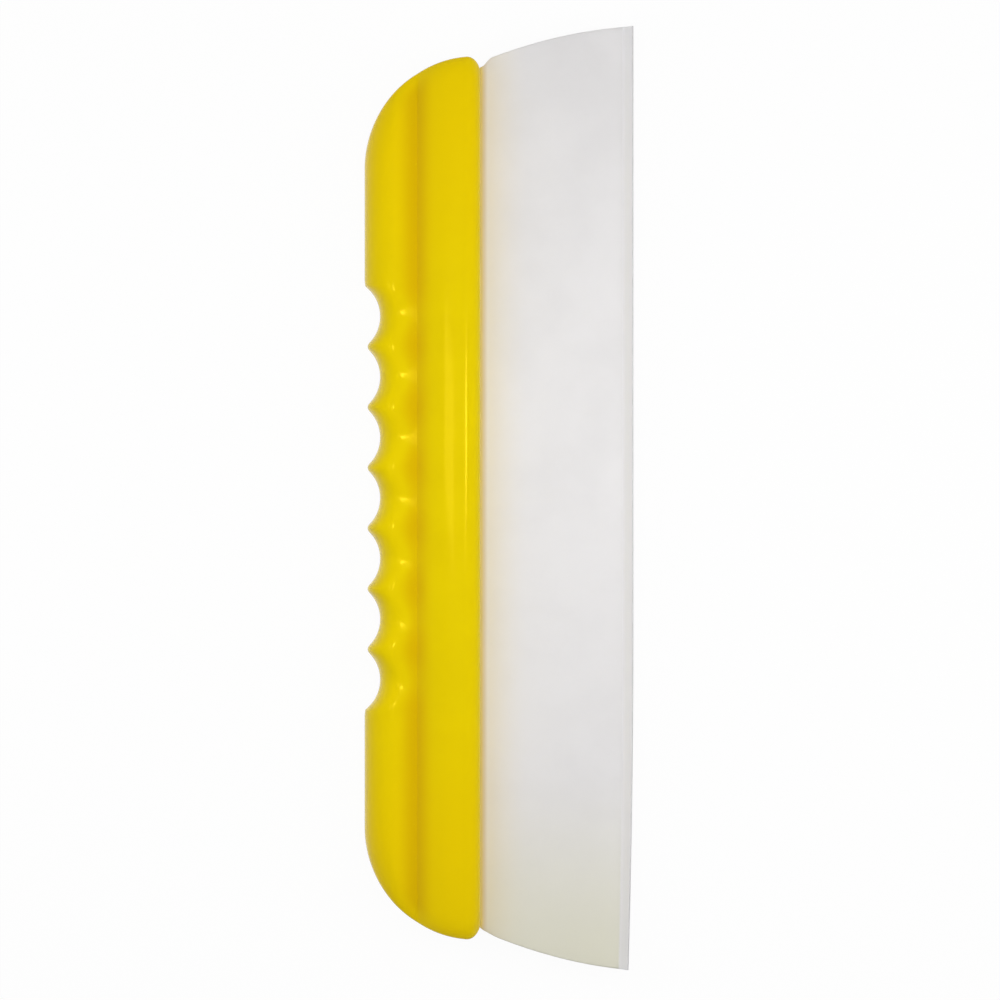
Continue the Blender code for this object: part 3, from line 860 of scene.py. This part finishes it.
def light_path_share(tree):
    """1 for rays from the camera, from gloss and through glass, and 0 for light that spreads."""
    path = node(tree, "ShaderNodeLightPath")
    total = path.outputs["Is Camera Ray"]
    for ray in ("Is Glossy Ray", "Is Transmission Ray"):
        joined = node(tree, "ShaderNodeMath", operation="MAXIMUM")
        tree.links.new(total, joined.inputs[0])
        tree.links.new(path.outputs[ray], joined.inputs[1])
        total = joined.outputs[0]
    return total


def studio_floor():
    """A plain pale floor that shows as white and keeps the object's shadow."""
    bm = bmesh.new()
    bmesh.ops.create_grid(bm, x_segments=1, y_segments=1, size=FLOOR_REACH)
    mesh = bpy.data.meshes.new("floor")
    bm.to_mesh(mesh)
    bm.free()
    floor = bpy.data.objects.new("floor", mesh)
    floor.location.z = -FLOOR_DROP
    bpy.context.scene.collection.objects.link(floor)
    look = bpy.data.materials.new("floor_paper")
    look.use_nodes = True
    tree = look.node_tree
    tree.nodes.clear()
    paper = node(tree, "ShaderNodeBsdfDiffuse")
    paper.inputs["Color"].default_value = FLOOR_PAPER
    white = node(tree, "ShaderNodeEmission")
    share = node(tree, "ShaderNodeMath", operation="MULTIPLY")
    share.inputs[1].default_value = FLOOR_WHITE
    tree.links.new(light_path_share(tree), share.inputs[0])
    mix = node(tree, "ShaderNodeMixShader")
    out = node(tree, "ShaderNodeOutputMaterial")
    tree.links.new(share.outputs[0], mix.inputs["Fac"])
    tree.links.new(paper.outputs[0], mix.inputs[1])
    tree.links.new(white.outputs[0], mix.inputs[2])
    tree.links.new(mix.outputs[0], out.inputs["Surface"])
    floor.data.materials.append(look)


def studio_world(level, lean):
    """Soft light from all round, stronger by lean towards +Y and weaker by as much towards -Y."""
    world = bpy.data.worlds.new("studio")
    bpy.context.scene.world = world
    world.use_nodes = True
    tree = world.node_tree
    tree.nodes.clear()
    soft = node(tree, "ShaderNodeBackground")
    split = node(tree, "ShaderNodeSeparateXYZ")
    tree.links.new(node(tree, "ShaderNodeTexCoord").outputs["Generated"], split.inputs[0])
    grade = node(tree, "ShaderNodeMath", operation="MULTIPLY_ADD")
    grade.inputs[1].default_value = level * lean
    grade.inputs[2].default_value = level
    tree.links.new(split.outputs["Y"], grade.inputs[0])
    tree.links.new(grade.outputs[0], soft.inputs["Strength"])
    white = node(tree, "ShaderNodeBackground")
    for shade in (soft, white):
        shade.inputs["Color"].default_value = (1.0, 1.0, 1.0, 1.0)
    mix = node(tree, "ShaderNodeMixShader")
    out = node(tree, "ShaderNodeOutputWorld")
    tree.links.new(light_path_share(tree), mix.inputs["Fac"])
    tree.links.new(soft.outputs[0], mix.inputs[1])
    tree.links.new(white.outputs[0], mix.inputs[2])
    tree.links.new(mix.outputs[0], out.inputs["Surface"])


def softbox(name, place, width, depth, radiance, glossy=True):
    """A rectangular lamp that faces the middle of the object; radiance is what its face sends out."""
    lamp = bpy.data.lights.new(name, "AREA")
    lamp.shape = "RECTANGLE"
    lamp.size = width
    lamp.size_y = depth
    lamp.energy = radiance * math.pi * width * depth
    made = bpy.data.objects.new(name, lamp)
    made.location = place
    aim = Vector((0, 0, MID_Z)) - Vector(place)
    made.rotation_euler = aim.to_track_quat("-Z", "X").to_euler()
    made.visible_glossy = glossy
    bpy.context.scene.collection.objects.link(made)


def studio_lights():
    """Soft lamps that gloss doesn't show, and the lamps high above that make the glints."""
    high = MID_Z + STUDIO_HEIGHT
    softbox("key", (0.0, 0.03, 0.45), 0.25, 0.25, 2.75, glossy=False)
    softbox("side_left", (-0.33, 0.025, 0.31), 0.3, 0.3, 1.7, glossy=False)
    softbox("side_right", (0.33, 0.025, 0.31), 0.3, 0.3, 2.4, glossy=False)
    softbox("glint_right", (0.105, 0.036, high), 0.20, 0.10, 1.6)
    softbox("glint_core", (0.105, 0.036, high - 0.01), 0.07, 0.07, 11.5)
    softbox("glint_left", (-0.16, 0.036, high), 0.22, 0.10, 2.2)


def photo_camera():
    """Straight above, with the object filling the square frame as in the photograph."""
    lens = bpy.data.cameras.new("camera")
    lens.sensor_width = SENSOR_WIDTH
    lens.lens = SENSOR_WIDTH * CAMERA_HEIGHT / VIEW_WIDTH
    made = bpy.data.objects.new("camera", lens)
    made.location = (CAMERA_X, CAMERA_Y, MID_Z + CAMERA_HEIGHT)
    bpy.context.scene.collection.objects.link(made)
    bpy.context.scene.camera = made


def build():
    """Lay the meshes over the frame, dress the pins and set the stage."""
    plastic = yellow_plastic()
    silicone = milky_silicone()
    nylon = ivory_nylon()
    for name, up, cad in (("handle_front", 1, "front_shell"), ("handle_rear", -1, "rear_shell")):
        half = shell(name, up)
        mark_handle(half)
        dress(half, plastic)
        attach(half, "handle")
        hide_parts(cad)
    soft = blade()
    dress(soft, silicone)
    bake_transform(soft)
    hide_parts("blade_root", "blade_web")
    lip = wiping_lip()
    dress(lip, silicone)
    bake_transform(lip)
    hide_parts("wiper_lip")
    for name in pin_nodes("anchor_pin") + pin_nodes("grip_pin"):
        dress(frame["nodes"][name], nylon)
    studio_floor()
    studio_world(WORLD_LEVEL, WORLD_LEAN)
    studio_lights()
    photo_camera()
    bpy.context.scene.view_settings.view_transform = "Standard"


build()
